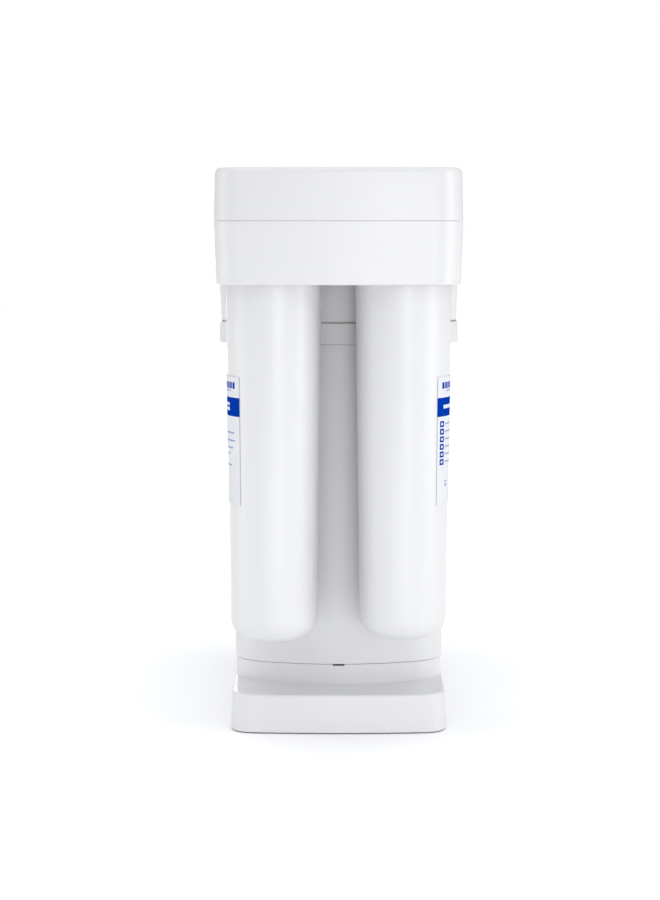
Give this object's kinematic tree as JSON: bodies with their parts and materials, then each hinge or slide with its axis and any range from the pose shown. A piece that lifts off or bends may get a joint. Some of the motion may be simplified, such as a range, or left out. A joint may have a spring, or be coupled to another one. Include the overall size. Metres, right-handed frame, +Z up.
{
  "type": "under sink water filter",
  "caption": "Under-sink reverse-osmosis water filter: a long head with twist-off filter modules at both ends, over a housed pressure tank on a stand.",
  "frame": {"origin": "centre of the footprint, on the floor", "axes": "+Z up; the pictured end faces -Y; +X is to the right in the picture, where the tube ports are"},
  "size_m": [0.19, 0.371, 0.42],
  "materials": {
    "black_rubber": "matt black rubber",
    "blue_plastic": "blue moulding",
    "carbon_block": "pressed carbon",
    "clear_film": "soft bladder film",
    "grey_plastic": "grey moulding",
    "label_film": "printed film, satin",
    "natural_plastic": "natural moulded plastic",
    "steel": "bright steel",
    "white_gloss": "gloss white moulding",
    "white_satin": "satin white moulding"
  },
  "bodies": {
    "housing": {"check_valve": "blue_plastic", "flow_restrictor": "blue_plastic", "foot_front_left": "black_rubber", "foot_front_right": "black_rubber", "foot_rear_left": "black_rubber", "foot_rear_right": "black_rubber", "head_case": "white_gloss", "link_tube_drain": "natural_plastic", "link_tube_inlet": "natural_plastic", "link_tube_tap": "natural_plastic", "manifold": "white_satin", "manifold_screw_1": "steel", "manifold_screw_2": "steel", "manifold_screw_3": "steel", "manifold_screw_4": "steel", "neck_collar": "white_gloss", "port_block": "white_satin", "socket_1": "white_satin", "socket_2": "white_satin", "socket_3": "white_satin", "socket_4": "white_satin", "stand": "white_gloss", "stand_plate": "grey_plastic", "stem_nut": "blue_plastic", "tank_cover": "white_gloss", "tank_shell": "white_gloss", "tank_stem": "white_satin", "valve_body": "grey_plastic", "valve_cap": "blue_plastic", "valve_diaphragm": "black_rubber", "valve_spring": "steel", "vessel_bladder": "clear_film", "vessel_lower": "natural_plastic", "vessel_saddle": "grey_plastic", "vessel_upper": "natural_plastic"},
    "lid_body": {"lid": "white_gloss"},
    "plunger": {"valve_plunger": "white_satin"},
    "module_1": {"module_1_canister": "white_gloss", "module_1_cap": "white_satin", "module_1_seal": "black_rubber", "module_1_element": "carbon_block", "module_1_label": "label_film"},
    "module_2": {"module_2_canister": "white_gloss", "module_2_cap": "white_satin", "module_2_seal": "black_rubber", "module_2_element": "carbon_block", "module_2_label": "label_film"},
    "module_3": {"module_3_canister": "white_gloss", "module_3_cap": "white_satin", "module_3_seal": "black_rubber", "module_3_element": "carbon_block", "module_3_label": "label_film"},
    "module_4": {"module_4_canister": "white_gloss", "module_4_cap": "white_satin", "module_4_seal": "black_rubber", "module_4_element": "carbon_block", "module_4_label": "label_film"},
    "inlet_collet": {"collet_inlet": "grey_plastic"},
    "drain_collet": {"collet_drain": "black_rubber"},
    "tap_collet": {"collet_tap": "blue_plastic"}
  },
  "joints": [
    {"name": "lid_lift", "type": "slide", "parent": "housing", "child": "lid_body", "axis": [0, 0, 1], "range_m": [0, 0.12]},
    {"name": "module_1_twist", "type": "hinge", "parent": "housing", "child": "module_1", "pos_m": [-0.0475, -0.142, 0.3408], "axis": [0, 0, -1], "range_deg": [0, 60]},
    {"name": "module_2_twist", "type": "hinge", "parent": "housing", "child": "module_2", "pos_m": [0.0475, -0.142, 0.3408], "axis": [0, 0, -1], "range_deg": [0, 60]},
    {"name": "module_3_twist", "type": "hinge", "parent": "housing", "child": "module_3", "pos_m": [0.0475, 0.142, 0.3408], "axis": [0, 0, -1], "range_deg": [0, 60]},
    {"name": "module_4_twist", "type": "hinge", "parent": "housing", "child": "module_4", "pos_m": [-0.0475, 0.142, 0.3408], "axis": [0, 0, -1], "range_deg": [0, 60]},
    {"name": "inlet_collet_press", "type": "slide", "parent": "housing", "child": "inlet_collet", "axis": [-1, 0, 0], "range_m": [0, 0.0015]},
    {"name": "drain_collet_press", "type": "slide", "parent": "housing", "child": "drain_collet", "axis": [-1, 0, 0], "range_m": [0, 0.0015]},
    {"name": "tap_collet_press", "type": "slide", "parent": "housing", "child": "tap_collet", "axis": [-1, 0, 0], "range_m": [0, 0.0015]},
    {"name": "plunger_lift", "type": "slide", "parent": "housing", "child": "plunger", "axis": [0, 0, 1], "range_m": [0, 0.002], "stiffness_N_per_m": 200, "springref_m": -0.01, "deforming": ["valve_spring"]}
  ]
}
